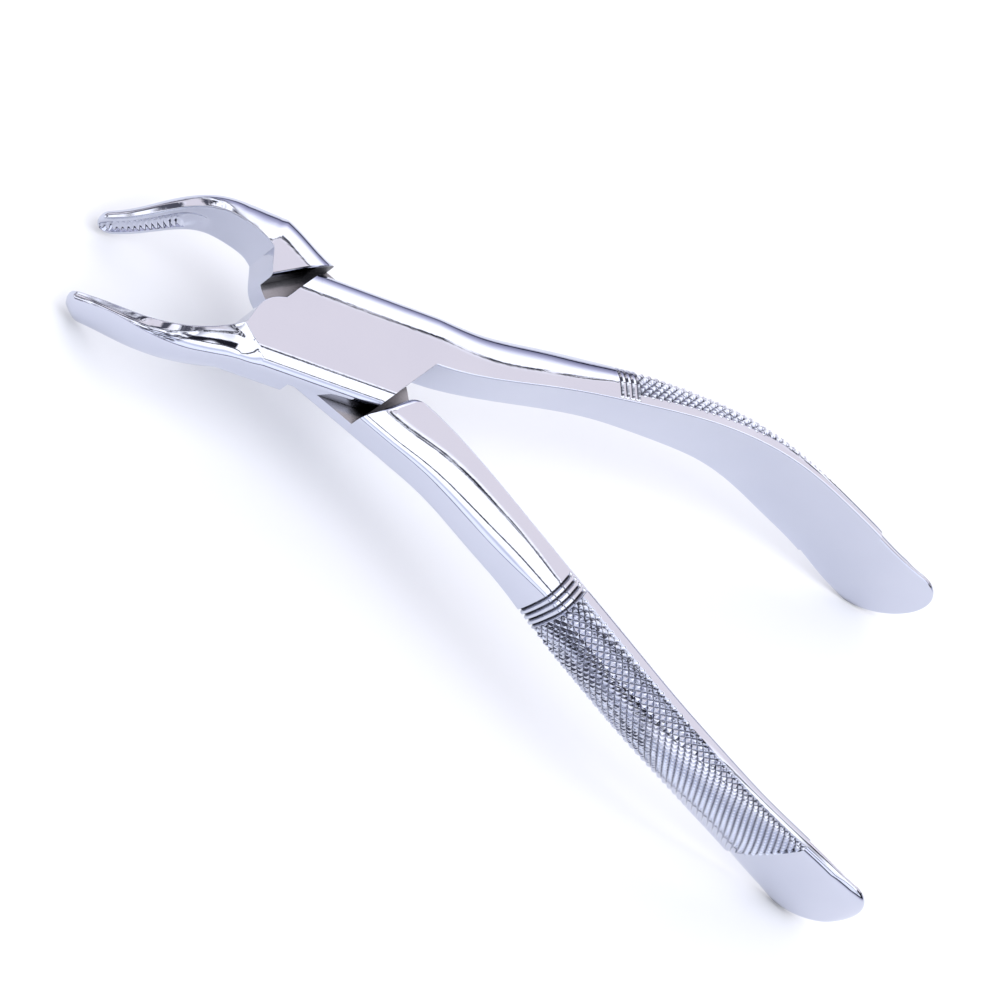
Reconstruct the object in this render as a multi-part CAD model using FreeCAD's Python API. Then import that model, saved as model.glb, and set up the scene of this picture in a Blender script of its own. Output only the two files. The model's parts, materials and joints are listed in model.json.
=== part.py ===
"""Extraction forceps: two forged halves that cross in a lap joint and turn about one flush rivet.

Frame, in millimetres: the pivot axis is Z and z = 0 is the joint's flat underside. +X runs towards the handles and the
beaks point to -X. At rest the forceps are open, and the halves stand either side of the XZ plane.
A half is drawn in its own axes: u runs along it towards its handle and v towards the outside of its handle.
The bottom half's joint is the top half's turned over about X, and its handle and beak are the top half's mirrored.
"""

import FreeCAD, Part
import math
import os

Vector = FreeCAD.Vector

# Lap joint
REST_ANGLE = 11.75        # degrees from the X axis to a half's own axis, so the halves are 23.5 degrees open
JOINT_HEIGHT = 8.8
LAP_GAP = 0.06            # running clearance between the two lap plates
PLATE_SIDE = 10.3         # half the plate's width
EDGE_ROUND = 2.6          # rounding along the plate's two outer edges
BEAK_CUT = (49.5, 10.8)   # the plate's cut edge at the beaks: degrees from the u axis, distance from the pivot
HANDLE_CUT = (48.5, 12.6)
BEAK_SHOULDER = (53.0, 12.4)    # the other half's shoulder that faces that edge
HANDLE_SHOULDER = (56.0, 13.5)  # and the one where the halves would stop if they closed further
CROTCH = (-15.2, 1.3)     # where the plate's cut edge meets the inside of its own beak
PLATE_CORNERS = [(-18.4, -4.9), (-13.4, -PLATE_SIDE)]  # the plate's end above its own beak
SHANK_INSIDE = 0.4        # v of the handle's inner face where it leaves the joint
ROOT_LENGTH = 8.0         # how far each root reaches under the plate before the recess is cut

# Pivot rivet
RIVET_RADIUS = 2.5
RIVET_CLEARANCE = 0.04

# Handle: x, y and z of the inner face's middle line, thickness, breadth, edge rounding, crown, lean of the outer face,
# and how far the outer face curves in towards its lower edge
HANDLE = [
    (28.0, 7.5, 4.3, 9.1, 9.0, 2.6, 0.3, 1.0, 0.0),
    (40.0, 12.8, 4.0, 8.4, 9.6, 2.5, 0.5, 1.5, 0.0),
    (52.0, 17.8, 3.2, 7.6, 9.9, 2.3, 0.8, 1.6, 0.0),
    (60.0, 20.9, 2.0, 7.6, 11.2, 2.2, 1.0, 1.6, 0.0),
    (70.0, 24.6, 0.1, 7.0, 12.9, 2.0, 1.0, 1.2, 0.0),
    (80.0, 27.7, -2.2, 6.2, 14.1, 1.6, 0.9, 0.8, 0.1),
    (90.0, 29.9, -5.4, 4.9, 15.8, 1.0, 0.6, 0.4, 0.7),
    (103.0, 31.5, -10.6, 3.4, 17.5, 0.5, 0.4, 0.0, 2.0),
    (115.0, 32.0, -15.2, 2.9, 18.3, 0.4, 0.3, 0.0, 1.7),
    (124.0, 32.2, -19.0, 2.7, 19.4, 0.4, 0.3, 0.0, 1.4),
    (132.0, 32.6, -21.9, 2.6, 19.9, 0.4, 0.3, 0.0, 1.2),
    (139.5, 32.9, -24.7, 2.5, 20.2, 0.4, 0.3, 0.0, 1.0),
]
TAIL_ROUND = 10.2         # radius of the tail's end, seen from the side

# Beak: the same columns, with y measured away from the XZ plane
BEAK = [
    (-12.0, 4.7, 4.3, 6.9, 8.2, 1.6, 0.6, 0.0, 0.0),
    (-17.0, 7.5, 3.8, 5.9, 8.3, 1.5, 0.6, 0.0, 0.0),
    (-20.0, 9.3, 2.9, 5.1, 8.5, 1.4, 0.6, 0.0, 0.0),
    (-24.0, 11.1, 1.4, 4.2, 8.3, 1.2, 0.6, 0.0, 0.0),
    (-28.0, 11.6, -1.3, 3.3, 7.3, 1.0, 0.5, 0.0, 0.0),
    (-32.0, 10.5, -5.2, 2.7, 6.7, 0.8, 0.5, 0.0, 0.0),
    (-36.0, 8.8, -9.1, 2.2, 6.3, 0.6, 0.4, 0.0, 0.0),
    (-39.5, 7.7, -11.8, 1.9, 5.6, 0.5, 0.4, 0.0, 0.0),
]
HOLLOW_RADIUS = 5.0       # of the shallow channel down each beak's inner face
HOLLOW_DEPTH = 0.5
HOLLOW_START = 5          # the channel runs from this beak station to the tip

FAR = 60.0                # a length that is longer than anything that is cut
CLOSE = 0.01              # how near a measured place has to be to count as there


def half_point(u, v, z=0.0):
    """A point of the top half, from its own axes to the forceps' frame."""
    turn = math.radians(REST_ANGLE)
    x = u * math.cos(turn) - v * math.sin(turn)
    y = u * math.sin(turn) + v * math.cos(turn)
    return Vector(x, y, z)


def prism(outline, bottom, top):
    """A straight prism over an outline of (u, v) corners."""
    corners = [half_point(u, v, bottom) for u, v in outline]
    wire = Part.makePolygon(corners + corners[:1])
    return Part.Face(wire).extrude(Vector(0, 0, top - bottom))


def square_to(angle, end):
    """The (u, v) unit vector from the pivot square to a line at that angle; end is 1 at the handles, -1 at the beaks."""
    turn = math.radians(angle)
    return end * math.sin(turn), -end * math.cos(turn)


def crossing(line, end, v):
    """Where a line, given as its angle and its distance from the pivot, crosses that v."""
    angle, distance = line
    across, up = square_to(angle, end)
    return (distance - up * v) / across, v


def foot(line, end):
    """The point of a line that is nearest the pivot."""
    angle, distance = line
    across, up = square_to(angle, end)
    return distance * across, distance * up


def arc_past_foot(line, end, side, steps=4):
    """Corners on the circle about the pivot that carries a cut edge on past its foot, as far as the plate's side."""
    radius = line[1]
    start = math.degrees(math.atan2(*reversed(foot(line, end))))
    stop = math.copysign(math.degrees(math.asin(PLATE_SIDE / radius)), side)
    if end < 0:
        stop = math.copysign(180, side) - stop
    angles = [math.radians(start + (stop - start) * i / steps) for i in range(steps + 1)]
    return [(radius * math.cos(a), radius * math.sin(a)) for a in angles]


def plate_outline():
    """The top lap plate seen from above, from the crotch round by the handle and back along the beak's side."""
    corner = crossing(HANDLE_CUT, 1, SHANK_INSIDE)
    shank = [(corner[0], PLATE_SIDE), corner]
    beak_end = PLATE_CORNERS[::-1]
    return [CROTCH] + arc_past_foot(BEAK_CUT, -1, 1) + shank + arc_past_foot(HANDLE_CUT, 1, -1) + beak_end


def lap_plate():
    """The top lap plate, with its two long outer edges rounded."""
    plate = prism(plate_outline(), JOINT_HEIGHT / 2 + LAP_GAP / 2, JOINT_HEIGHT)
    turn = math.radians(REST_ANGLE)
    rounded = []
    for edge in plate.Edges:
        middle = edge.CenterOfMass
        v = middle.y * math.cos(turn) - middle.x * math.sin(turn)
        on_side = abs(abs(v) - PLATE_SIDE) < CLOSE and edge.Length > 2 * EDGE_ROUND
        if on_side and abs(middle.z - JOINT_HEIGHT) < CLOSE:
            rounded.append(edge)
    return plate.makeFillet(EDGE_ROUND, rounded)


def recess():
    """The space under the top plate that the bottom plate turns in, as a cutter."""
    handle_foot = foot(HANDLE_SHOULDER, 1)
    beak_foot = foot(BEAK_SHOULDER, -1)
    outline = [
        turned(crossing(HANDLE_SHOULDER, 1, FAR / 2)),
        turned(handle_foot),
        (handle_foot[0], FAR / 2),
        turned(crossing(BEAK_SHOULDER, -1, -FAR / 2)),
        turned(beak_foot),
        (beak_foot[0], -FAR / 2),
    ]
    return prism(outline, -FAR, JOINT_HEIGHT / 2 + LAP_GAP / 2)


def turned(corner):
    """A (u, v) corner of one half's outline, as it is on the other half when the joint is turned over."""
    return corner[0], -corner[1]


def section(centre, along, thickness, breadth, rounding, crown, lean, tuck):
    """A closed section: flat inner face, flat narrow sides, rounded outer edges and a crowned outer face."""
    outward = Vector(0, 0, 1).cross(along).normalize()
    up = along.cross(outward).normalize()
    half = breadth / 2

    def at(out, height):
        return centre + outward * (out - out / thickness * lean * height / breadth) + up * height

    bend = rounding * (1 - math.sqrt(0.5))
    side = thickness - crown
    low = side - tuck
    edges = [
        Part.LineSegment(at(0, -half), at(0, half)),
        Part.LineSegment(at(0, half), at(side - rounding, half)),
        Part.Arc(at(side - rounding, half), at(side - bend, half - bend), at(side, half - rounding)),
        Part.Arc(at(side, half - rounding), at(thickness, 0), at(low, rounding - half)),
        Part.Arc(at(low, rounding - half), at(low - bend, bend - half), at(low - rounding, -half)),
        Part.LineSegment(at(low - rounding, -half), at(0, -half)),
    ]
    return Part.Wire([edge.toShape() for edge in edges])


def tangents(points):
    """The direction of a smooth line through the points, at each point."""
    last = len(points) - 1
    return [(points[min(i + 1, last)] - points[max(i - 1, 0)]).normalize() for i in range(len(points))]


def loft(points, ways, sizes):
    """A solid through one section at each point, square to the way there."""
    wires = [section(point, way, *size) for point, way, size in zip(points, ways, sizes)]
    return Part.makeLoft(wires, True, False)


def handle():
    """Shank, grip and tail as one loft that starts inside the joint."""
    points = [half_point(u, SHANK_INSIDE, JOINT_HEIGHT / 2) for u in (ROOT_LENGTH, 2 * ROOT_LENGTH)]
    points += [Vector(*row[:3]) for row in HANDLE]
    root = (PLATE_SIDE - SHANK_INSIDE, JOINT_HEIGHT, EDGE_ROUND, 0.05, 0.0, 0.0)
    sizes = [root, root] + [row[3:] for row in HANDLE]
    ways = tangents(points)
    ways[0] = ways[1] = half_point(1, 0)
    return loft(points, ways, sizes).cut(tail_end(points[-1], ways[-1]))


def tail_end(tip, way):
    """What is cut away to round the tail's end, seen from the side."""
    outward = Vector(0, 0, 1).cross(way).normalize()
    centre = tip - way * TAIL_ROUND
    block = Part.makeBox(FAR, FAR, FAR, Vector(0, -FAR / 2, -FAR / 2))
    turn = FreeCAD.Rotation(way, outward, way.cross(outward), "XYZ")
    block.Placement = FreeCAD.Placement(centre, turn)
    disc = Part.makeCylinder(TAIL_ROUND, FAR, centre - outward * FAR / 2, outward)
    return block.cut(disc)


def beak():
    """The beak as one loft from inside the joint to its narrow tip, on the +Y side."""
    points = [Vector(*row[:3]) for row in BEAK]
    ways = [way * -1 for way in tangents(points)]
    return loft(points, ways, [row[3:] for row in BEAK]).cut(hollow(points))


def hollow(points):
    """The shallow channel that grips the tooth."""
    start = points[HOLLOW_START]
    way = (points[-1] - start).normalize()
    outward = way.cross(Vector(0, 0, 1)).normalize()
    return Part.makeCylinder(HOLLOW_RADIUS, FAR, start - outward * (HOLLOW_RADIUS - HOLLOW_DEPTH), way)


def beak_root():
    """The block under the plate that carries the joint's full height on to the beak."""
    inner = (-ROOT_LENGTH, CROTCH[1])
    outer = (-ROOT_LENGTH, -PLATE_SIDE)
    return prism([CROTCH] + PLATE_CORNERS + [outer, inner], 0, JOINT_HEIGHT / 2 + LAP_GAP / 2)


def joint_pieces():
    """The parts of a half that belong to the joint: its plate and the root of its beak."""
    return [lap_plate(), beak_root().cut(recess())]


def turned_over(shape):
    """The shape turned half a turn about the line y = 0 at mid height, which swaps the two halves' joints."""
    copy = shape.copy()
    copy.rotate(Vector(0, 0, JOINT_HEIGHT / 2), Vector(1, 0, 0), 180)
    return copy


def mirrored(shape):
    return shape.mirror(Vector(0, 0, 0), Vector(0, 1, 0))


def bore(radius):
    return Part.makeCylinder(radius, FAR, Vector(0, 0, -FAR / 2))


def one_solid(pieces):
    """The pieces fused, as one clean solid."""
    fused = pieces[0].multiFuse(pieces[1:]).removeSplitter()
    return max(fused.Solids, key=lambda solid: solid.Volume)


def top_half():
    long_pieces = [handle().cut(recess()), mirrored(beak()).cut(recess())]
    return one_solid(joint_pieces() + long_pieces).cut(bore(RIVET_RADIUS))


def bottom_half():
    other_recess = turned_over(recess())
    long_pieces = [mirrored(handle()).cut(other_recess), beak().cut(other_recess)]
    plates = [turned_over(piece) for piece in joint_pieces()]
    return one_solid(plates + long_pieces).cut(bore(RIVET_RADIUS + RIVET_CLEARANCE))


def pivot_rivet():
    return Part.makeCylinder(RIVET_RADIUS, JOINT_HEIGHT)


def main():
    os.makedirs("parts", exist_ok=True)
    parts = {"top_half": top_half(), "bottom_half": bottom_half(), "pivot_rivet": pivot_rivet()}
    for name, shape in parts.items():
        solid = shape.Solids[0]
        solid.exportStep(f"parts/{name}.step")
        print(name, "solids", len(shape.Solids), "valid", solid.isValid(), "volume", round(solid.Volume, 1))


main()
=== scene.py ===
import json
import math

import bmesh
import bpy
import numpy as np
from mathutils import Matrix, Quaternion, Vector

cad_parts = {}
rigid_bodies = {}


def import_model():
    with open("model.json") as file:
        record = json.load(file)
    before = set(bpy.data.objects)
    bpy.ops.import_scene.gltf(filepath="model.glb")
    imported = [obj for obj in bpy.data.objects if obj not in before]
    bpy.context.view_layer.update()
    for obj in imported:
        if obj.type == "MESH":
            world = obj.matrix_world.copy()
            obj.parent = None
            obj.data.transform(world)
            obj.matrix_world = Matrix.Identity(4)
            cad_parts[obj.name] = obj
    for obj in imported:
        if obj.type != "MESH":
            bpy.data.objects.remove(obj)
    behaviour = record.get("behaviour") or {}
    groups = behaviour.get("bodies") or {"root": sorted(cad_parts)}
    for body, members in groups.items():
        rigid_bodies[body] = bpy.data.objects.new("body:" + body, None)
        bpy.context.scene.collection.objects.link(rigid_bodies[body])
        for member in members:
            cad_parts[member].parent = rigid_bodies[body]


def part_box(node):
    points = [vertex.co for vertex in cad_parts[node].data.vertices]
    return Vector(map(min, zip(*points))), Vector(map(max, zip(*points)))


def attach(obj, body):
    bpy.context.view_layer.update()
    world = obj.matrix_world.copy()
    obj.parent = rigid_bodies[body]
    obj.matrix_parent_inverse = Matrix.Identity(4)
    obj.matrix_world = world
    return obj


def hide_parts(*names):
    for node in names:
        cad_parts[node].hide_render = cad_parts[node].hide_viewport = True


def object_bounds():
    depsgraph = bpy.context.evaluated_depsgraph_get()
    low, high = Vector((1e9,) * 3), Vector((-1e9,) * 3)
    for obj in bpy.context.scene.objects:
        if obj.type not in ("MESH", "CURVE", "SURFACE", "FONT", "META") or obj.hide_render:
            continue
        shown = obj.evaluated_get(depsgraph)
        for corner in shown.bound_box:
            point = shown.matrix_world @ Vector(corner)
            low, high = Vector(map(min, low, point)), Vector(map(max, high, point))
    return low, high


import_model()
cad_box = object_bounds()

# Extraction forceps: two polished forged halves that cross in a lap joint, with knurled grips and
# serrated beaks. Lengths are in millimetres until a mesh is made. A half is drawn in its own axes: u runs
# along it towards its handle, v towards the outside of its handle. The bottom half is the top half
# mirrored, with its recess on top, a fuller beak root and no crease.

MM = 0.001
REST_TURN = math.radians(11.75)   # how far a half's own axis is turned from the X axis
JOINT_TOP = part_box("pivot_rivet")[1].z / MM
RIVET_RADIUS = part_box("pivot_rivet")[1].x / MM
LAP_GAP = 0.06
PLATE_SIDE = 10.3                 # half the plate's width
PLATE_ROUND = 2.2                 # depth of the rounding along the plate's long edges
OUTER_WIDE = 2.7                  # its breadth in depths, on the side that leads to the handle
INNER_WIDE = 1.6                  # the same on the side that leads to the beak
ROOT_BULGE = 1.3                  # how much further the bottom half's beak root stands out
CRISP = 0.15                      # rounding of the cut edges
# The plate's cut edges, as degrees from the u axis and distance from the pivot
BEAK_CUT = (49.5, 10.8)
HANDLE_CUT = (48.5, 12.6)
# The same for the shoulders that face the other half's cut edges
BEAK_SHOULDER = (53.0, 12.4)
HANDLE_SHOULDER = (59.0, 13.6)
SHOULDER_ROUND = 1.1
SHOULDER_ANGLES = [20, 40, 60, 80]
BEAK_FLARE = 0.45                 # share of that rounding on the beak's shoulder
RECESS_CORNER = 2.6               # radius of the recess's inner corner at the handle
RECESS_STEPS = 6
RECESS_REACH = 6.0                # how far the recess runs on past that corner
RECESS_PLAY = 0.05
SHANK_INSIDE = 0.4                # v of the handle's inner face where it leaves the joint
CREASE = [(-18.4, -4.6), (-15.7, -7.8)]   # where the plate's flat top ends above its own beak
CREASE_DROP = 0.8
CREASE_FALL = 1.7                 # how far past the crease most of the drop is reached
CREASE_REACH = 6.0                # and how far past it the drop has faded out again
BULGE_START = -8.0                # u where the bottom half's root starts to stand out
BULGE_REACH = 15.0                # how far along the beak it still does
ROOT_WIDEN = (-4.0, -12.0)        # u over which the inner rounding changes to the root's
JOINT_SPACING = [0.2, 0.3, 0.1, 1.0, 0.1, 0.6]

# Inside of the plate between its cut edge and the beak: u, v
CROTCH = [(-11.8, 2.8), (-13.6, 2.25), (-15.2, 1.3), (-16.6, -0.4), (-17.6, -2.4), (-18.4, -4.0)]

# Handle: x, y and z of the inner face's middle line, thickness, breadth, outer rounding, crown,
# lean of the outer face, and how far the outer face curves in towards its lower edge
HANDLE = [
    (28.0, 7.5, 4.3, 9.1, 9.0, 2.7, 0.1, 1.0, 0.0),
    (40.0, 12.8, 4.0, 8.4, 9.6, 3.3, 0.2, 1.5, 0.0),
    (52.0, 17.8, 3.2, 7.6, 9.9, 4.0, 0.4, 1.6, 0.0),
    (60.0, 20.9, 2.0, 7.6, 11.2, 4.4, 0.5, 1.6, 0.0),
    (70.0, 24.6, 0.1, 7.0, 12.9, 4.2, 0.6, 1.2, 0.0),
    (80.0, 27.7, -2.2, 6.2, 14.1, 3.6, 0.7, 0.8, 0.1),
    (90.0, 29.9, -5.4, 4.9, 15.8, 2.8, 0.7, 0.4, 0.7),
    (103.0, 31.5, -10.6, 3.4, 17.5, 1.9, 0.5, 0.0, 1.8),
    (115.0, 32.0, -15.2, 2.9, 18.3, 1.6, 0.4, 0.0, 1.5),
    (124.0, 32.2, -19.0, 2.7, 19.4, 1.5, 0.4, 0.0, 1.2),
    (132.0, 32.6, -21.9, 2.6, 19.9, 1.4, 0.3, 0.0, 1.0),
    (139.5, 32.9, -24.7, 2.5, 20.2, 1.4, 0.3, 0.0, 0.8),
]
SHANK_START = 17.5                # u where the handle's own line starts
SHANK_SPACING = 0.8
SHANK_NARROW = (17.0, 62.0)       # x over which the outer rounding's breadth falls to its depth
INNER_ROUND = 0.3
RING_START = 51.8                 # x of the first groove of the ring before the grip
RING_GROOVES = 4
RING_PITCH = 1.15
GROOVE_HALF = 0.36
GROOVE_DEPTH = 0.5
KNURL_PITCH = 1.7
KNURL_DEPTH = 0.62
KNURL_END = 115.5                 # x where the knurl stops
KNURL_STRIP = 5                   # plain steps of the contour beside each inner edge
KNURL_STEPS = 4                   # rings to each pitch
KNURL_FLAT = 0.86                 # the pyramids are cut off at this share of their height
KNURL_MARGIN = 0.12               # depth of the plain strips under the surface
TAIL_STEP = 0.45                  # how far the tail lies under the knurl's tips
TAIL_ROUND = 10.2
TAIL_WIDE = 2.8                   # breadth of the tail's upper rim in depths
TAIL_RIM = (115.5, 121.5)         # distances along the handle over which the rim broadens
TAIL_SETTLE = (14.0, 5.0)         # distances from the end over which the tail reaches its full breadth
TAIL_THIN = 0.75                  # share of the tail's step that its thickness loses
TAIL_SPACING = 0.5
TAIL_ANGLES = [
    4, 8, 12, 17, 22, 27, 32, 37, 42, 47, 52, 57, 62, 66, 70, 74, 77, 80, 82.5, 84.5, 86, 87.3]

# Beak: x, y and z of the inner face's middle line, heading and fall in degrees, thickness, breadth,
# outer rounding
BEAK = [
    (-20.4, -10.0, 3.0, 17.0, 13.0, 4.7, 8.6, 2.8),
    (-24.0, -11.3, 1.2, 14.0, 27.0, 4.1, 8.2, 2.2),
    (-28.0, -11.6, -1.5, -4.0, 39.0, 3.5, 7.3, 1.8),
    (-32.0, -10.5, -5.3, -19.0, 43.0, 2.9, 6.7, 1.5),
    (-36.0, -8.9, -9.1, -20.0, 40.0, 2.4, 6.3, 1.3),
    (-40.3, -7.75, -12.45, -17.0, 38.0, 2.0, 5.8, 1.1),
]
ROOT_SLOPES = [None, None, 0.0, None, 0.0, None, 0.0, None]   # the plate runs level into the beak
BEAK_CROWN = 0.35
BEAK_BLEND = 6.0                  # distance over which the beak takes on its crown and inner rounding
TIP_ROUND = 2.4
TIP_POWER = 2.4                   # how square the tip is: 2 would be an ellipse
TIP_NARROW = 0.95                 # shares of breadth and thickness that the tip loses
TIP_THIN = 0.5
CHANNEL_LENGTH = 19.0
CHANNEL_DEPTH = 0.85
CHANNEL_SHARE = 0.75              # share of the breadth
SERRATION_PITCH = 1.0
SERRATION_DEPTH = 0.26
SERRATED = 14.5

# Steps round a section: low wall with its two corners, top, high wall with its two corners, bottom
LOW_ARC, LOW_WALL, SIDE, HIGH_ARC, HIGH_WALL = 8, 16, 10, 10, 16
LOW = 2 * LOW_ARC + LOW_WALL
HIGH = 2 * HIGH_ARC + HIGH_WALL
AROUND = LOW + HIGH + 2 * SIDE
OUTER = HIGH + 2 * SIDE
ROUND_STEPS = 96                  # round the rivet and its bore
SHARP_ANGLE = 30.0                # degrees past which an edge is shaded as sharp


def spline(knots, values, at, start_slope=None):
    """A natural cubic through the values at the knots, with a given slope at its start if there is one."""
    x, y = np.asarray(knots, float), np.asarray(values, float)
    at = np.asarray(at, float)
    h, n = np.diff(x), len(x)
    a, b = np.zeros((n, n)), np.zeros(n)
    a[0, 0] = a[-1, -1] = 1.0
    if start_slope is not None:
        a[0, :2] = 2 * h[0], h[0]
        b[0] = 6 * ((y[1] - y[0]) / h[0] - start_slope)
    for i in range(1, n - 1):
        a[i, i - 1:i + 2] = h[i - 1], 2 * (h[i - 1] + h[i]), h[i]
        b[i] = 6 * ((y[i + 1] - y[i]) / h[i] - (y[i] - y[i - 1]) / h[i - 1])
    bend = np.linalg.solve(a, b)
    i = np.clip(np.searchsorted(x, at) - 1, 0, n - 2)
    left, right = at - x[i], x[i + 1] - at
    straight = (y[i] / h[i] - bend[i] * h[i] / 6) * right + (y[i + 1] / h[i] - bend[i + 1] * h[i] / 6) * left
    return straight + (bend[i] * right ** 3 + bend[i + 1] * left ** 3) / (6 * h[i])


def to_world(u, v):
    """x and y of a place in the top half's own axes."""
    cosine, sine = math.cos(REST_TURN), math.sin(REST_TURN)
    return u * cosine - v * sine, u * sine + v * cosine


def line_u(line, end, v):
    """u where a line, given as its angle and distance from the pivot, crosses v; end is 1 at the handles."""
    angle, distance = math.radians(line[0]), line[1]
    return (end * distance + math.cos(angle) * v) / math.sin(angle)


def line_v(line, end, u):
    angle, distance = math.radians(line[0]), line[1]
    return (math.sin(angle) * u - end * distance) / math.cos(angle)


# Sections -----------------------------------------------------------------------------------------

def corner(wall, inward, radius, wide, lift, cut, steps):
    """A rounded corner from the wall to the edge, as places along the edge and depths below it.

    The cut, if there is one, moves the wall inwards.
    """
    if cut is not None and inward * (cut - wall) >= radius * wide - CRISP:
        angle = np.linspace(0, math.pi / 2, steps + 1)
        return cut + inward * CRISP * (1 - np.cos(angle)), CRISP * (1 - np.sin(angle))
    centre = wall + inward * radius * wide * math.cos(lift)
    start = lift
    if cut is not None and inward * (cut - wall) > 0:
        start = math.acos(min(1.0, abs(centre - cut) / (radius * wide)))
    angle = np.linspace(start, math.pi / 2, steps + 1)
    return centre - inward * radius * wide * np.cos(angle), radius * (1 - np.sin(angle))


def wall_group(at, inward, bottom, top, rounding, crown, cut, arc_steps, wall_steps):
    """One upright wall with its two corners, from the bottom to the top."""
    radius, wide = rounding
    lift = math.atan2(4 * crown, top - bottom - 2 * radius)
    p, drop = corner(at + inward * crown, inward, radius, wide, lift, cut, arc_steps)
    share = np.linspace(0, 1, wall_steps + 1)
    low, high = bottom + drop[0], top - drop[0]
    bulge = 0 if cut is not None else crown * 4 * share * (1 - share)
    wall = p[0] - inward * bulge + 0 * share
    q = low + (high - low) * share
    lower = np.stack([p[::-1], bottom + drop[::-1]], 1)
    upper = np.stack([p, top - drop], 1)
    return np.concatenate([lower[:-1], np.stack([wall, q], 1)[:-1], upper])


def section(low, high, bottom, top, round_low, round_high,
            crown_low=0.0, crown_high=0.0, cut_low=None, cut_high=None):
    """A closed section: up the low wall, over the top, down the high wall and back along the bottom.

    Each rounding is its depth and its breadth in depths.
    """
    first = wall_group(low, 1, bottom, top, round_low, crown_low, cut_low, LOW_ARC, LOW_WALL)
    second = wall_group(high, -1, bottom, top, round_high, crown_high, cut_high, HIGH_ARC, HIGH_WALL)[::-1]
    share = np.linspace(0, 1, SIDE + 1)[1:-1, None]
    over = first[-1] + (second[0] - first[-1]) * share
    under = second[-1] + (first[0] - second[-1]) * share
    return np.concatenate([first, over, second, under])


def placed(points, origin, across, up):
    return origin + points[:, :1] * across + points[:, 1:] * up


# Joint and shank ----------------------------------------------------------------------------------

ALONG = np.array([math.cos(REST_TURN), math.sin(REST_TURN), 0.0])
ACROSS = np.array([-math.sin(REST_TURN), math.cos(REST_TURN), 0.0])
UP = np.array([0.0, 0.0, 1.0])


def joint_ring(u, bulge, root_wide):
    cut_low = line_v(HANDLE_CUT, 1, u)
    cut_low = cut_low if cut_low > -PLATE_SIDE else None
    cut_high = line_v(BEAK_CUT, -1, u) if u > CROTCH[0][0] else crotch_v(u)
    cut_high = cut_high if cut_high < PLATE_SIDE else None
    side = PLATE_SIDE + bulge * fade(u, BULGE_START, CROTCH[-1][0])
    inner_wide = INNER_WIDE + (root_wide - INNER_WIDE) * fade(u, *ROOT_WIDEN)
    inner, outer = (PLATE_ROUND, inner_wide), (PLATE_ROUND, OUTER_WIDE)
    points = section(-side, PLATE_SIDE, 0, JOINT_TOP, inner, outer, cut_low=cut_low, cut_high=cut_high)
    return placed(points, u * ALONG, ACROSS, UP)


def crotch_v(u):
    us, vs = zip(*CROTCH[::-1])
    return float(spline(us, vs, u))


def steps_between(stops, spacing):
    """Evenly spaced values through the stops, each stretch with its own spacing."""
    values = [stops[0]]
    for start, stop, gap in zip(stops, stops[1:], spacing):
        count = max(1, round(abs(stop - start) / gap))
        values += [start + (stop - start) * i / count for i in range(1, count + 1)]
    return values


def joint_rings(bulge, root_wide):
    """From the root of the beak to the start of the shank."""
    corner_high = line_u(BEAK_CUT, -1, PLATE_SIDE)
    fillet_high = line_u(BEAK_CUT, -1, PLATE_SIDE - PLATE_ROUND * OUTER_WIDE)
    corner_low = line_u(HANDLE_CUT, 1, -PLATE_SIDE)
    fillet_low = line_u(HANDLE_CUT, 1, PLATE_ROUND * INNER_WIDE - PLATE_SIDE)
    end = line_u(HANDLE_CUT, 1, SHANK_INSIDE)
    stops = [CROTCH[-1][0], CROTCH[0][0], fillet_high, corner_high, corner_low, fillet_low, end]
    return [joint_ring(u, bulge, root_wide) for u in steps_between(stops, JOINT_SPACING)]


# Handle -------------------------------------------------------------------------------------------

class Handle:
    """The inner face's line with everything that changes along it, by distance from the shank's start."""

    def __init__(self):
        start = to_world(SHANK_START, SHANK_INSIDE)
        first = (*start, JOINT_TOP / 2, PLATE_SIDE - SHANK_INSIDE, JOINT_TOP, PLATE_ROUND, 0.0, 0.0, 0.0)
        rows = np.array([first] + HANDLE)
        x = np.linspace(rows[0, 0], rows[-1, 0], 1200)
        slopes = [math.tan(REST_TURN), 0.0, 0.0, 0.0, 0.0] + [None] * 3
        columns = [spline(rows[:, 0], rows[:, i], x, slopes[i - 1]) for i in range(1, 9)]
        self.line = np.stack([x, columns[0], columns[1]], 1)
        self.sizes = np.stack(columns[2:], 1)
        way = np.gradient(self.line, axis=0)
        step = np.linalg.norm(way, axis=1)
        self.way = way / step[:, None]
        self.s = np.concatenate([[0], np.cumsum(np.linalg.norm(np.diff(self.line, axis=0), axis=1))])
        self.length = self.s[-1]

    def distance(self, x):
        return float(np.interp(x, self.line[:, 0], self.s))

    def at(self, s):
        def pick(table):
            return np.array([np.interp(s, self.s, table[:, i]) for i in range(table.shape[1])])
        way = pick(self.way)
        across = np.cross(UP, way)
        across /= np.linalg.norm(across)
        return pick(self.line), across, np.cross(way, across), pick(self.sizes)


def leaned(points, thickness, breadth, lean, tuck):
    """The section with its outer face leaning, and curving in towards its lower edge by the tuck."""
    moved = points.copy()
    low = np.clip(-2 * points[:, 1] / breadth, 0, 1)
    moved[:, 0] -= points[:, 0] / thickness * (lean * points[:, 1] / breadth + tuck * low ** 2)
    return moved


def handle_ring(handle, s, relief=None):
    """A ring of the handle; relief is how far each step of its outer contour lies under the surface."""
    origin, across, up, (thickness, breadth, rounding, crown, lean, tuck) = handle.at(s)
    half = breadth / 2
    wide = OUTER_WIDE + (1 - OUTER_WIDE) * fade(origin[0], *SHANK_NARROW)
    points = section(0, thickness, -half, half, (INNER_ROUND, 1), (rounding, wide), crown_high=crown)
    if relief is not None:
        points = relieved(points, relief)
    return placed(leaned(points, thickness, breadth, lean, tuck), origin, across, up)


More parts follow.
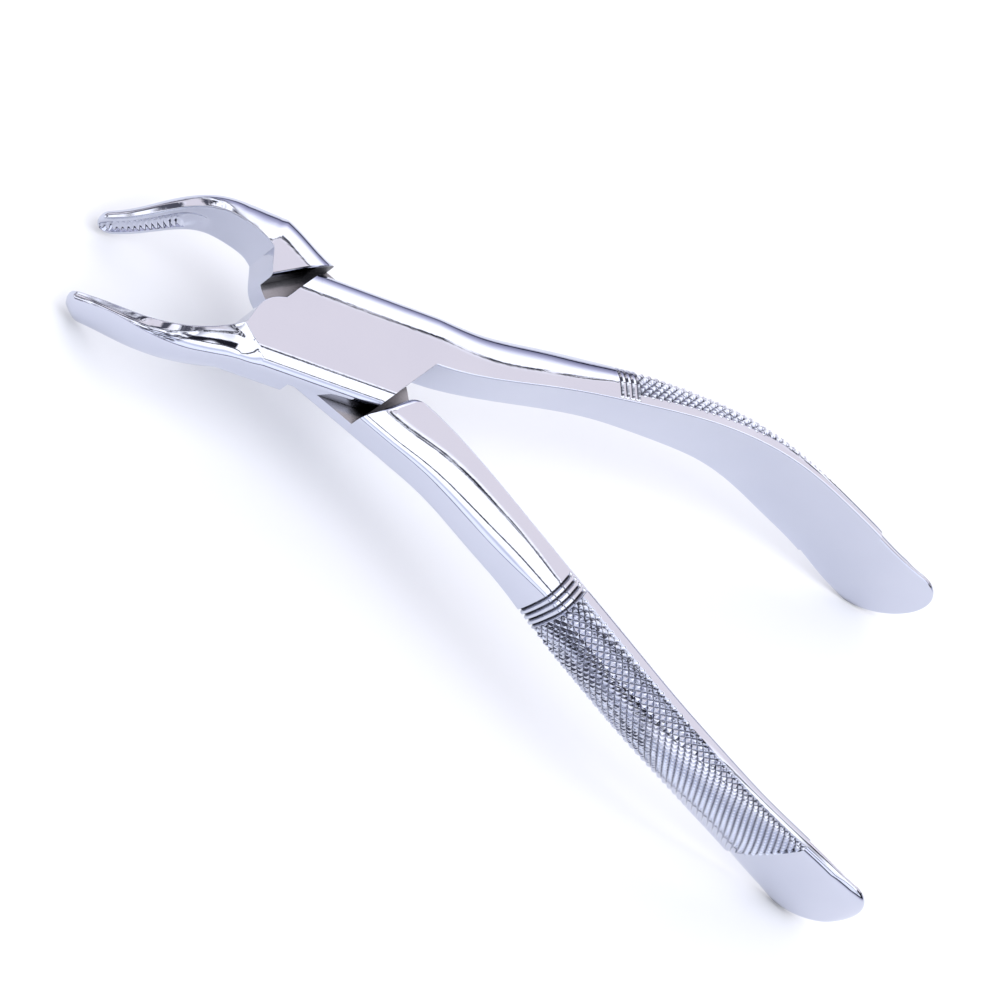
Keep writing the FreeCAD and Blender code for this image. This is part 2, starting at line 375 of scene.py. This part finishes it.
def relieved(points, relief):
    """The outer contour with evenly spaced steps, each moved inwards by its relief."""
    closed = np.concatenate([points, points[:1]])
    contour = closed[LOW:]
    gone = np.concatenate([[0], np.cumsum(np.linalg.norm(np.diff(contour, axis=0), axis=1))])
    even = np.linspace(0, gone[-1], OUTER + 1)
    contour = np.stack([np.interp(even, gone, contour[:, i]) for i in range(2)], 1)
    way = np.gradient(contour, axis=0)
    way /= np.linalg.norm(way, axis=1)[:, None]
    inward = np.stack([way[:, 1], -way[:, 0]], 1)
    contour = contour + inward * relief[:, None]
    return np.concatenate([points[:LOW], contour[:-1]])


def fade(values, start, stop):
    share = np.clip((values - start) / (stop - start), 0, 1)
    return share * share * (3 - 2 * share)


def ring_relief(amount):
    """A groove's relief round the contour: it runs out towards the inner edges."""
    step = np.arange(OUTER + 1)
    return amount * fade(np.minimum(step, OUTER - step), 0, 3)


def knurl_relief(column):
    """Pyramids between crossed grooves, a quarter of the pitch to each step."""
    row = np.arange(OUTER + 1)
    rising = (column + row) / KNURL_STEPS % 1 - 0.5
    falling = (column - row) / KNURL_STEPS % 1 - 0.5
    height = 1 - 2 * np.maximum(np.abs(rising), np.abs(falling))
    height = np.minimum(height, KNURL_FLAT)
    edge = np.minimum(row, OUTER - row)
    return np.where(edge < KNURL_STRIP, KNURL_MARGIN, KNURL_DEPTH * (1 - height))


def tail_ring(handle, s):
    """A ring of the tail: its rim is rounded all the way round the end."""
    origin, across, up, (thickness, breadth, rounding, crown, lean, tuck) = handle.at(s)
    settle = 1 - fade(s, handle.length - TAIL_SETTLE[0], handle.length - TAIL_SETTLE[1])
    thickness -= TAIL_STEP * TAIL_THIN
    half = breadth / 2 - TAIL_STEP * settle
    fullest = thickness - crown - INNER_ROUND - CRISP   # the rim still has some edge left
    past = max(0.0, s - (handle.length - TAIL_ROUND))
    here = half * math.sqrt(max(0.0, 1 - (past / TAIL_ROUND) ** 2))

    def rim(q):
        return half - np.hypot(q, past * half / TAIL_ROUND) if past else half - np.abs(q)

    def dome(depth, radius, wide=1.0):
        reach = np.clip(depth / wide, 0, radius)
        return radius - np.sqrt(radius ** 2 - (radius - reach) ** 2)

    turn = np.linspace(0, math.pi, LOW + 1)
    q = -here * np.cos(turn)
    inner = np.stack([dome(rim(q), INNER_ROUND), q], 1)
    turn = np.linspace(0, math.pi, HIGH + 1)
    q = here * np.cos(turn)
    bulge = crown * np.clip(rim(q) / half, 0, 1)
    upper = fade(q / half, -0.3, 0.5) * fade(s, *TAIL_RIM)
    radius, wide = min(rounding, fullest), 1 + (TAIL_WIDE - 1) * upper
    outer = np.stack([thickness - crown - dome(rim(q), radius, wide) + bulge, q], 1)
    share = np.linspace(0, 1, SIDE + 1)[1:-1, None]
    over = inner[-1] + (outer[0] - inner[-1]) * share
    under = outer[-1] + (inner[0] - outer[-1]) * share
    points = np.concatenate([inner, over, outer, under])
    return placed(leaned(points, thickness, 2 * half, lean, tuck), origin, across, up)


def handle_rings():
    """Shank, ring of grooves, knurl and tail, and the number of the knurl's first and last ring."""
    handle = Handle()
    first_groove = handle.distance(RING_START)
    plain = steps_between([0.0, first_groove - SHANK_SPACING], [SHANK_SPACING])
    rings = [handle_ring(handle, s) for s in plain]
    flat = np.zeros(OUTER + 1)
    rings.append(handle_ring(handle, first_groove - 0.6, flat))
    for number in range(RING_GROOVES):
        middle = first_groove + number * RING_PITCH
        for offset, depth in ((-GROOVE_HALF, 0), (0, GROOVE_DEPTH), (GROOVE_HALF, 0)):
            rings.append(handle_ring(handle, middle + offset, ring_relief(depth)))
    start = first_groove + (RING_GROOVES - 1) * RING_PITCH + GROOVE_HALF + 0.15
    columns = KNURL_STEPS * round((handle.distance(KNURL_END) - start) / KNURL_PITCH)
    knurl_first = len(rings)
    for i in range(columns + 1):
        rings.append(handle_ring(handle, start + i * KNURL_PITCH / KNURL_STEPS, knurl_relief(i)))
    knurl_last = len(rings) - 1
    begin = start + columns * KNURL_PITCH / KNURL_STEPS + 0.35
    bend = handle.length - TAIL_ROUND
    rings += [tail_ring(handle, s) for s in steps_between([begin, bend], [TAIL_SPACING])]
    for angle in np.radians(TAIL_ANGLES):
        rings.append(tail_ring(handle, bend + TAIL_ROUND * math.sin(angle)))
    return rings, knurl_first, knurl_last


# Beak ---------------------------------------------------------------------------------------------

def beak_rings(bulge, root_wide):
    """From the tip back to the joint's first ring."""
    u, v = CROTCH[-1]
    turn = math.degrees(REST_TURN)
    root = (*to_world(u, v), JOINT_TOP / 2, turn, 0.0, v + PLATE_SIDE, JOINT_TOP, PLATE_ROUND)
    rows = np.array([root] + BEAK)
    knots = np.concatenate([[0], np.cumsum(np.linalg.norm(np.diff(rows[:, :3], axis=0), axis=1))])
    length = knots[-1]
    stops = [length, length - TIP_ROUND, length - SERRATED, 1.2]
    back = steps_between(stops, [0.2, SERRATION_PITCH / 4, 0.4])
    rings = []
    for s in back + [0.8, 0.4]:
        x, y, z, heading, fall, thickness, breadth, rounding = (
            spline(knots, rows[:, i], s, ROOT_SLOPES[i]) for i in range(8))
        crown = BEAK_CROWN * fade(s, 0, BEAK_BLEND)
        edge = CRISP + (INNER_ROUND - CRISP) * fade(s, 0, BEAK_BLEND)
        past = max(0.0, s - (length - TIP_ROUND)) / TIP_ROUND
        half = breadth / 2 * (1 - TIP_NARROW * past ** TIP_POWER) ** (1 / TIP_POWER)
        thickness = thickness * (1 - TIP_THIN * past ** 2) + bulge * fade(s, BULGE_REACH, 0)
        wide = 1 + (root_wide - 1) * fade(s, knots[3], 0)
        rounding = min(rounding, (thickness - edge - 0.1) / wide, half - 0.1)
        points = section(-thickness, 0, -half, half, (rounding, wide), (edge, 1), crown_low=crown)
        points = channelled(points, length - s, half)
        heading, fall = math.radians(heading), math.radians(fall)
        across = np.array([-math.sin(heading), math.cos(heading), 0.0])
        drop = math.sin(fall)
        up = np.array([-math.cos(heading) * drop, -math.sin(heading) * drop, math.cos(fall)])
        rings.append(placed(points, np.array([x, y, z]), across, up))
    return rings


def channelled(points, from_tip, half):
    """The inner face with the scooped, serrated channel that grips the tooth."""
    reach = math.sqrt(max(0.0, 1 - max(0.0, (from_tip - CHANNEL_LENGTH + 6) / 6) ** 2))
    if reach == 0:
        return points
    start = LOW + SIDE + HIGH_ARC
    wall = points[start:start + HIGH_WALL + 1]
    share = wall[:, 1] / (np.abs(wall[:, 1]).max() * CHANNEL_SHARE * max(reach, 0.2))
    scoop = np.clip(1 - share ** 2, 0, None)
    wave = abs((from_tip / SERRATION_PITCH) % 1 - 0.5) * 2 * fade(SERRATED + 0.5 - from_tip, 0, 2)
    wall[:, 0] -= scoop * (CHANNEL_DEPTH * reach * fade(from_tip, -1.2, 2.5) + SERRATION_DEPTH * wave)
    return points


# Meshes -------------------------------------------------------------------------------------------

def strip_mesh(name, rings, knurl_first, knurl_last, mirror):
    """One closed skin over the rings. The knurl's cells are split along the bottoms of its grooves."""
    points = np.concatenate(rings) * MM
    if mirror:
        points[:, 1] *= -1
    faces = [list(range(AROUND))[::-1]]
    for i in range(len(rings) - 1):
        for j in range(AROUND):
            a, b = i * AROUND + j, i * AROUND + (j + 1) % AROUND
            c, d = b + AROUND, a + AROUND
            row, column = j - LOW, i - knurl_first
            if knurl_first <= i < knurl_last and row >= 0:
                along_ac = (column - row) % KNURL_STEPS == 0
                faces += [[a, b, c], [a, c, d]] if along_ac else [[a, b, d], [b, c, d]]
            else:
                faces.append([a, b, c, d])
    last = (len(rings) - 1) * AROUND
    faces.append([last + j for j in range(AROUND)])
    if mirror:
        faces = [face[::-1] for face in faces]
    mesh = bpy.data.meshes.new(name)
    mesh.from_pydata([tuple(p) for p in points], [], faces)
    edit = bmesh.new()
    edit.from_mesh(mesh)
    bmesh.ops.recalc_face_normals(edit, faces=edit.faces)
    caps = [face for face in edit.faces if len(face.verts) > 4]
    bmesh.ops.triangulate(edit, faces=caps, ngon_method="EAR_CLIP")
    edit.to_mesh(mesh)
    edit.free()
    return mesh


def prism_object(name, layers):
    """A closed cutter over layers of (x, y) corners, each with its own z."""
    count = len(layers[0][1])
    points = [(x * MM, y * MM, z * MM) for z, outline in layers for x, y in outline]
    faces = [list(range(count))[::-1], [(len(layers) - 1) * count + j for j in range(count)]]
    for i in range(len(layers) - 1):
        for j in range(count):
            a, b = i * count + j, i * count + (j + 1) % count
            faces.append([a, b, b + count, a + count])
    mesh = bpy.data.meshes.new(name)
    mesh.from_pydata(points, [], faces)
    edit = bmesh.new()
    edit.from_mesh(mesh)
    bmesh.ops.recalc_face_normals(edit, faces=edit.faces)
    edit.to_mesh(mesh)
    edit.free()
    return bpy.data.objects.new(name, mesh)


FAR = 40.0     # longer than anything that is cut


def recess_outline(grow, mirror):
    """The other half's working space in plan, grown on both shoulders; its front inner corner is an arc."""
    handle = (HANDLE_SHOULDER[0], HANDLE_SHOULDER[1] + grow)
    beak = (BEAK_SHOULDER[0], BEAK_SHOULDER[1] + grow * BEAK_FLARE)
    tilt = math.radians(90 - handle[0])
    sweep = math.pi / 2 - tilt
    radius = RECESS_CORNER
    along = radius * math.tan(sweep / 2)
    knee = (line_u(handle, 1, -SHANK_INSIDE), SHANK_INSIDE)
    centre = (knee[0] + along, SHANK_INSIDE + radius)
    end = centre[0] + RECESS_REACH
    outline = [(line_u(beak, -1, FAR), -FAR), (end, -FAR), (end, SHANK_INSIDE - RECESS_PLAY - grow)]
    for i in range(RECESS_STEPS + 1):
        angle = -math.pi / 2 - sweep * i / RECESS_STEPS
        outline.append((centre[0] + radius * math.cos(angle), centre[1] + radius * math.sin(angle)))
    outline += [(line_u(handle, 1, -FAR), FAR), (line_u(beak, -1, -FAR), FAR)]
    sign = -1 if mirror else 1
    return [(x, sign * y) for x, y in (to_world(u, v) for u, v in outline)]


def recess_cutter(mirror):
    """The space that the other half's plate turns in, flared where it meets the face."""
    middle = JOINT_TOP / 2
    straight = middle - SHOULDER_ROUND
    layers = [(LAP_GAP / 2, 0.0), (straight, 0.0)]
    for angle in np.radians(SHOULDER_ANGLES):
        below = SHOULDER_ROUND * (1 - math.sin(angle))
        layers.append((middle - below, SHOULDER_ROUND * (1 - math.cos(angle))))
    layers.append((middle + 2, SHOULDER_ROUND))
    side = 1 if mirror else -1
    shaped = []
    for z, grow in layers:
        away = z if z > LAP_GAP else -LAP_GAP / 2
        shaped.append((middle + side * away, recess_outline(grow, mirror)))
    cutter = prism_object("recess", shaped)
    cutter.data.materials.append(steel)
    cutter.data.materials.append(ground_steel_painted_shade)
    cutter.data.materials.append(lapped_steel_painted_shade)
    # The recess walls take the near-black steel and the lap face the darker steel: painted shade in the gap
    # between the halves.
    for face in cutter.data.polygons:
        height = abs(face.center.z / MM - middle)
        face.material_index = 2 if height < LAP_GAP else 1 if height < straight else 0
    return cutter


def fall_past_crease(mesh):
    """Cuts the top half's skin along the crease where its flat top ends, and lowers the root past it.

    The drop grows quickly past the crease, fades out again along the beak, and is full only at the top.
    """
    (x1, y1), (x2, y2) = (to_world(*place) for place in CREASE)
    start = Vector((x1, y1, 0)) * MM
    way = (Vector((x2, y2, 0)) * MM - start).normalized()
    out = way.cross(Vector((0, 0, 1)))
    out = out if out.x < 0 else -out
    edit = bmesh.new()
    edit.from_mesh(mesh)
    middle, top = JOINT_TOP / 2 * MM, JOINT_TOP * MM

    def near(place):
        return place.z > middle and -0.03 < place.x < -0.012 and place.y < 0.002

    faces = [face for face in edit.faces if near(face.calc_center_median())]
    around = {item for face in faces for item in (*face.verts, *face.edges)}
    bmesh.ops.bisect_plane(edit, geom=[*faces, *around], dist=1e-7, plane_co=start, plane_no=out)
    for vert in edit.verts:
        past = (vert.co - start).dot(out) / MM
        if past > 0 and vert.co.x < -0.012:
            weight = fade(vert.co.z, middle, top)
            drop = CREASE_DROP * (1 - math.exp(-past / CREASE_FALL)) * math.exp(-(past / CREASE_REACH) ** 2)
            vert.co.z -= weight * drop * MM
    edit.to_mesh(mesh)
    edit.free()


def bore_cutter(radius, bottom, top):
    angles = np.linspace(0, 2 * math.pi, ROUND_STEPS, endpoint=False)
    outline = [(radius * math.cos(a), radius * math.sin(a)) for a in angles]
    return prism_object("bore", [(bottom, outline), (top, outline)])


def cut_away(piece, cutters):
    """The piece's mesh with the cutters taken away."""
    scene = bpy.context.scene.collection.objects
    for cutter in cutters:
        scene.link(cutter)
        change = piece.modifiers.new(cutter.name, "BOOLEAN")
        change.operation, change.solver, change.object = "DIFFERENCE", "EXACT", cutter
        change.material_mode = "TRANSFER"
    shaped = bpy.data.meshes.new_from_object(piece.evaluated_get(bpy.context.evaluated_depsgraph_get()))
    piece.modifiers.clear()
    piece.data = shaped
    for cutter in cutters:
        bpy.data.objects.remove(cutter)


def finish_mesh(piece):
    piece.data.shade_smooth()
    piece.data.set_sharp_from_angle(angle=math.radians(SHARP_ANGLE))
    weigh = piece.modifiers.new("even_shading", "WEIGHTED_NORMAL")
    weigh.keep_sharp = True


def make_half(name, node, body, mirror):
    root = (ROOT_BULGE, OUTER_WIDE) if mirror else (0.0, INNER_WIDE)
    beak = beak_rings(*root)
    joint = joint_rings(*root)
    handle, first, last = handle_rings()
    rings = beak + joint + handle
    before = len(beak) + len(joint)
    skin = strip_mesh(name, rings, before + first, before + last, mirror)
    skin.materials.append(steel)
    if not mirror:
        fall_past_crease(skin)
    piece = bpy.data.objects.new(name, skin)
    bpy.context.scene.collection.objects.link(piece)
    cutters = [recess_cutter(mirror)]
    if mirror:
        cutters.append(bore_cutter(RIVET_RADIUS + 0.05, -1, JOINT_TOP))
    cut_away(piece, cutters)
    finish_mesh(piece)
    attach(piece, body)
    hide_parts(node)


def make_rivet():
    """The flush rivet: its end is a low dome inside a fine seam."""
    edit = bmesh.new()
    profile = [
        (0.0, 0.02), (0.9, 0.025), (1.8, 0.05), (2.3, 0.1), (2.45, 0.2),
        (RIVET_RADIUS, 0.35), (RIVET_RADIUS, JOINT_TOP / 2)]
    angles = np.linspace(0, 2 * math.pi, ROUND_STEPS, endpoint=False)
    rings = []
    for radius, z in profile[1:]:
        circle = [(radius * MM * math.cos(a), radius * MM * math.sin(a), z * MM) for a in angles]
        rings.append([edit.verts.new(place) for place in circle])
    tip = edit.verts.new((0, 0, profile[0][1] * MM))
    for j in range(ROUND_STEPS):
        after = (j + 1) % ROUND_STEPS
        edit.faces.new([tip, rings[0][j], rings[0][after]])
        for lower, upper in zip(rings, rings[1:]):
            edit.faces.new([lower[j], lower[after], upper[after], upper[j]])
    edit.faces.new(rings[-1])
    bmesh.ops.recalc_face_normals(edit, faces=edit.faces)
    mesh = bpy.data.meshes.new("flush_rivet")
    edit.to_mesh(mesh)
    edit.free()
    piece = bpy.data.objects.new("flush_rivet", mesh)
    bpy.context.scene.collection.objects.link(piece)
    finish_mesh(piece)
    mesh.materials.append(rivet_steel)
    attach(piece, "top")
    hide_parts("pivot_rivet")


# Materials ----------------------------------------------------------------------------------------

def chrome(name, colour, dark, roughness, brush_scale, brush_depth):
    """Bare steel: a faint cloudiness in colour and gloss, fine brushed lines, and painted shade: ambient
    occlusion darkens crevices, grooves and the gaps between parts.
    """
    material = bpy.data.materials.new(name)
    material.use_nodes = True
    tree = material.node_tree
    nodes, link = tree.nodes, tree.links.new
    shader = nodes["Principled BSDF"]
    shader.inputs["Metallic"].default_value = 1.0
    place = nodes.new("ShaderNodeTexCoord")
    cloud = nodes.new("ShaderNodeTexNoise")
    cloud.inputs["Scale"].default_value = 90.0
    cloud.inputs["Detail"].default_value = 3.0
    link(place.outputs["Object"], cloud.inputs["Vector"])
    tint = nodes.new("ShaderNodeMix")
    tint.data_type = "RGBA"
    tint.inputs["A"].default_value = (*dark, 1)
    tint.inputs["B"].default_value = (*colour, 1)
    link(cloud.outputs["Fac"], tint.inputs["Factor"])
    # Painted shade: ambient occlusion takes the base colour towards near-black in crevices, knurl grooves
    # and gaps between the halves, where shade falls.
    open_sky = nodes.new("ShaderNodeAmbientOcclusion")
    open_sky.samples = 6
    open_sky.inputs["Distance"].default_value = 0.0028
    unshaded_share = nodes.new("ShaderNodeMapRange")
    unshaded_share.inputs["From Min"].default_value = 0.44
    unshaded_share.inputs["From Max"].default_value = 0.74
    link(open_sky.outputs["AO"], unshaded_share.inputs["Value"])
    crevice_shade = nodes.new("ShaderNodeMix")
    crevice_shade.data_type = "RGBA"
    crevice_shade.inputs["A"].default_value = (0.025, 0.025, 0.03, 1)
    link(unshaded_share.outputs["Result"], crevice_shade.inputs["Factor"])
    link(tint.outputs["Result"], crevice_shade.inputs["B"])
    link(crevice_shade.outputs["Result"], shader.inputs["Base Color"])
    gloss = nodes.new("ShaderNodeMapRange")
    gloss.inputs["To Min"].default_value = roughness * 0.6
    gloss.inputs["To Max"].default_value = roughness * 1.5
    link(cloud.outputs["Fac"], gloss.inputs["Value"])
    link(gloss.outputs["Result"], shader.inputs["Roughness"])
    stretch = nodes.new("ShaderNodeMapping")
    stretch.inputs["Scale"].default_value = brush_scale
    link(place.outputs["Object"], stretch.inputs["Vector"])
    brushed = nodes.new("ShaderNodeTexNoise")
    brushed.inputs["Scale"].default_value = 1.0
    brushed.inputs["Detail"].default_value = 4.0
    link(stretch.outputs["Vector"], brushed.inputs["Vector"])
    bump = nodes.new("ShaderNodeBump")
    bump.inputs["Strength"].default_value = brush_depth
    bump.inputs["Distance"].default_value = 0.00001
    link(brushed.outputs["Fac"], bump.inputs["Height"])
    link(bump.outputs["Normal"], shader.inputs["Normal"])
    return material


steel = chrome("polished_steel", (0.60, 0.62, 0.71), (0.56, 0.58, 0.68), 0.045, (120, 2500, 2500), 0.35)
# The lap face's steel is darker than the polished steel: painted shade under the other half's plate,
# together with the rougher lapped finish it really has.
lapped_steel_painted_shade = chrome("lapped_steel_painted_shade", (0.36, 0.36, 0.39), (0.28, 0.28, 0.31), 0.16, (2500, 120, 2500), 0.5)
# The recess walls' steel is near-black: painted shade for the deep gap between the halves, on top of a
# rougher ground finish.
ground_steel_painted_shade = chrome("ground_steel_painted_shade", (0.10, 0.10, 0.11), (0.04, 0.04, 0.045), 0.22, (900, 2500, 900), 0.6)
rivet_steel = chrome("rivet_steel", (0.60, 0.61, 0.68), (0.54, 0.55, 0.63), 0.09, (900, 900, 900), 0.4)

make_half("top_forging", "top_half", "top", mirror=False)
make_half("bottom_forging", "bottom_half", "bottom", mirror=True)
make_rivet()


# Studio -------------------------------------------------------------------------------------------

def make_floor():
    """A pale sheet that the forceps lie on, touching the tails and the beak tips. Its colour is a painted
    pool of light: pale in the middle, darkening to lavender-grey further out.
    """
    beak_low, tail_low = cad_box[0].x + 0.001, cad_box[1].x - 0.0102
    tip_drop = -0.0148
    fall = (cad_box[0].z - tip_drop) / (tail_low - beak_low)
    size = 3.0
    corners = ((-size, -size), (size, -size), (size, size), (-size, size))
    level = [(x, y, cad_box[0].z + (x - tail_low) * fall - 0.0001) for x, y in corners]
    mesh = bpy.data.meshes.new("floor")
    mesh.from_pydata(level, [], [[0, 1, 2, 3]])
    floor = bpy.data.objects.new("floor", mesh)
    bpy.context.scene.collection.objects.link(floor)
    paper = bpy.data.materials.new("paper_painted_light_pool")
    paper.use_nodes = True
    nodes, link = paper.node_tree.nodes, paper.node_tree.links.new
    shader = nodes["Principled BSDF"]
    shader.inputs["Roughness"].default_value = 0.8
    shader.inputs["Specular IOR Level"].default_value = 0.1
    place = nodes.new("ShaderNodeTexCoord")
    reach = nodes.new("ShaderNodeVectorMath")
    reach.operation = "LENGTH"
    link(place.outputs["Object"], reach.inputs[0])
    shade = nodes.new("ShaderNodeMapRange")
    shade.inputs["From Min"].default_value = 0.22
    shade.inputs["From Max"].default_value = 0.5
    link(reach.outputs["Value"], shade.inputs["Value"])
    # Painted light: the sheet's colour darkens with distance from the middle, a painted pool of light with
    # painted falloff.
    painted_light_pool = nodes.new("ShaderNodeMix")
    painted_light_pool.data_type = "RGBA"
    painted_light_pool.inputs["A"].default_value = (0.75, 0.76, 0.79, 1)
    painted_light_pool.inputs["B"].default_value = (0.34, 0.34, 0.44, 1)
    link(shade.outputs["Result"], painted_light_pool.inputs["Factor"])
    link(painted_light_pool.outputs["Result"], shader.inputs["Base Color"])
    mesh.materials.append(paper)


def make_camera():
    """Looks down at the forceps from the front left, turned so that they lie across the frame."""
    aim = Vector((0.03713, -0.01039, 0.0044))
    distance = 0.5732
    azimuth, elevation, roll = math.radians(-34.6), math.radians(51.57), math.radians(58.42)
    level_reach = math.cos(elevation)
    back = Vector((
        math.sin(azimuth) * level_reach, -math.cos(azimuth) * level_reach, math.sin(elevation)))
    data = bpy.data.cameras.new("camera")
    data.sensor_width = 36.0
    data.lens = 122.5
    camera = bpy.data.objects.new("camera", data)
    bpy.context.scene.collection.objects.link(camera)
    camera.location = aim + back * distance
    camera.rotation_mode = "QUATERNION"
    level = (-back).to_track_quat("-Z", "Y")
    camera.rotation_quaternion = level @ Quaternion((0, 0, 1), roll)
    bpy.context.scene.camera = camera


def make_light():
    """A white tent with a lavender panel overhead and thin dark seams between its softboxes."""
    world = bpy.data.worlds.new("tent")
    bpy.context.scene.world = world
    world.use_nodes = True
    tree = world.node_tree
    nodes, link = tree.nodes, tree.links.new
    shader = nodes["Background"]
    place = nodes.new("ShaderNodeTexCoord")
    split = nodes.new("ShaderNodeSeparateXYZ")
    link(place.outputs["Generated"], split.inputs["Vector"])

    def ramp(value, stops):
        node = nodes.new("ShaderNodeValToRGB")
        while len(node.color_ramp.elements) > 1:
            node.color_ramp.elements.remove(node.color_ramp.elements[-1])
        for i, (position, colour) in enumerate(stops):
            stop = node.color_ramp.elements[0] if i == 0 else node.color_ramp.elements.new(position)
            stop.position = position
            stop.color = (*colour, 1)
        link(value, node.inputs["Fac"])
        return node.outputs["Color"]

    def scaled(value, low, high):
        node = nodes.new("ShaderNodeMapRange")
        node.inputs["From Min"].default_value = low
        node.inputs["From Max"].default_value = high
        link(value, node.inputs["Value"])
        return node.outputs["Result"]

    def combine(operation, a, b):
        node = nodes.new("ShaderNodeMath")
        node.operation = operation
        for socket, value in zip(node.inputs, (a, b)):
            if isinstance(value, float):
                socket.default_value = value
            else:
                link(value, socket)
        return node.outputs["Value"]

    def blended(share, a, b):
        node = nodes.new("ShaderNodeMix")
        node.data_type = "RGBA"
        link(share, node.inputs["Factor"])
        for socket, value in ((node.inputs["A"], a), (node.inputs["B"], b)):
            if isinstance(value, tuple):
                socket.default_value = (*value, 1)
            else:
                link(value, socket)
        return node.outputs["Result"]

    def near(value, middle, half, soft):
        """1 within half of the middle, falling to 0 over the soft margin."""
        apart = combine("ABSOLUTE", combine("SUBTRACT", value, middle), 0.0)
        return scaled(apart, half + soft, half)

    x, y, z = (split.outputs[axis] for axis in "XYZ")
    speckle = nodes.new("ShaderNodeTexNoise")
    speckle.inputs["Scale"].default_value = 26.0
    speckle.inputs["Detail"].default_value = 2.0
    link(place.outputs["Generated"], speckle.inputs["Vector"])
    broken = scaled(speckle.outputs["Fac"], 0.44, 0.5)

    white, lavender, dark = (1.9, 1.9, 1.95), (1.2, 1.12, 1.14), (0.02, 0.02, 0.03)
    tent = ramp(scaled(y, -1, 1), [
        (0.0, white), (0.665, white), (0.70, lavender), (0.80, lavender), (0.845, white), (1.0, white)])
    low_side = ramp(scaled(z, -1, 1), [
        (0.0, (0.8, 0.8, 0.9)), (0.49, (0.5, 0.52, 0.62)), (0.55, (1.3, 1.35, 1.5)),
        (0.70, (1.5, 1.55, 1.7)), (0.80, (0.85, 0.9, 1.08)), (0.86, white)])
    far_side = ramp(scaled(z, -1, 1), [
        (0.0, (0.8, 0.8, 0.9)), (0.49, (0.3, 0.3, 0.42)), (0.54, (0.3, 0.3, 0.44)),
        (0.64, (0.75, 0.74, 0.95)), (0.76, white)])
    colour = blended(scaled(y, -0.32, -0.15), low_side, tent)
    colour = blended(scaled(y, 0.78, 0.9), colour, far_side)
    for middle, half, whole in ((0.27, 0.045, 0.45), (0.655, 0.02, 0.0), (-0.45, 0.03, 0.8)):
        line = combine("MULTIPLY", near(y, middle, half, 0.012), combine("MAXIMUM", broken, whole))
        colour = blended(combine("MULTIPLY", line, scaled(z, 0.1, 0.2)), colour, dark)
    colour = blended(near(z, 0.0, 0.045, 0.03), colour, dark)
    right = combine("MULTIPLY", scaled(x, 0.80, 0.86), near(z, 0.15, 0.25, 0.05))
    right = combine("MULTIPLY", right, near(y, 0.05, 0.25, 0.06))
    colour = blended(right, colour, dark)
    front_left = combine("MULTIPLY", near(x, -0.26, 0.1, 0.05), near(y, -0.26, 0.14, 0.05))
    colour = blended(front_left, colour, dark)
    streaks = nodes.new("ShaderNodeTexNoise")
    streaks.inputs["Scale"].default_value = 7.0
    streaks.inputs["Detail"].default_value = 3.0
    link(place.outputs["Generated"], streaks.inputs["Vector"])
    left = combine("MULTIPLY", scaled(x, -0.25, -0.4), scaled(streaks.outputs["Fac"], 0.44, 0.56))
    colour = blended(left, colour, (0.12, 0.12, 0.15))
    link(colour, shader.inputs["Color"])
    shader.inputs["Strength"].default_value = 1.0
    lamps = (("key", (0.2, -0.3, 1.6), 1.2, 9.0), ("fill", (-0.9, 0.9, 1.2), 0.9, 4.0))
    for name, place_at, size, power in lamps:
        light = bpy.data.lights.new(name, "AREA")
        light.size = size
        light.energy = power
        lamp = bpy.data.objects.new(name, light)
        lamp.location = place_at
        lamp.rotation_mode = "QUATERNION"
        lamp.rotation_quaternion = Vector(place_at).to_track_quat("Z", "Y")
        lamp.visible_glossy = False
        bpy.context.scene.collection.objects.link(lamp)


make_floor()
make_camera()
make_light()
bpy.context.scene.view_settings.view_transform = "Standard"
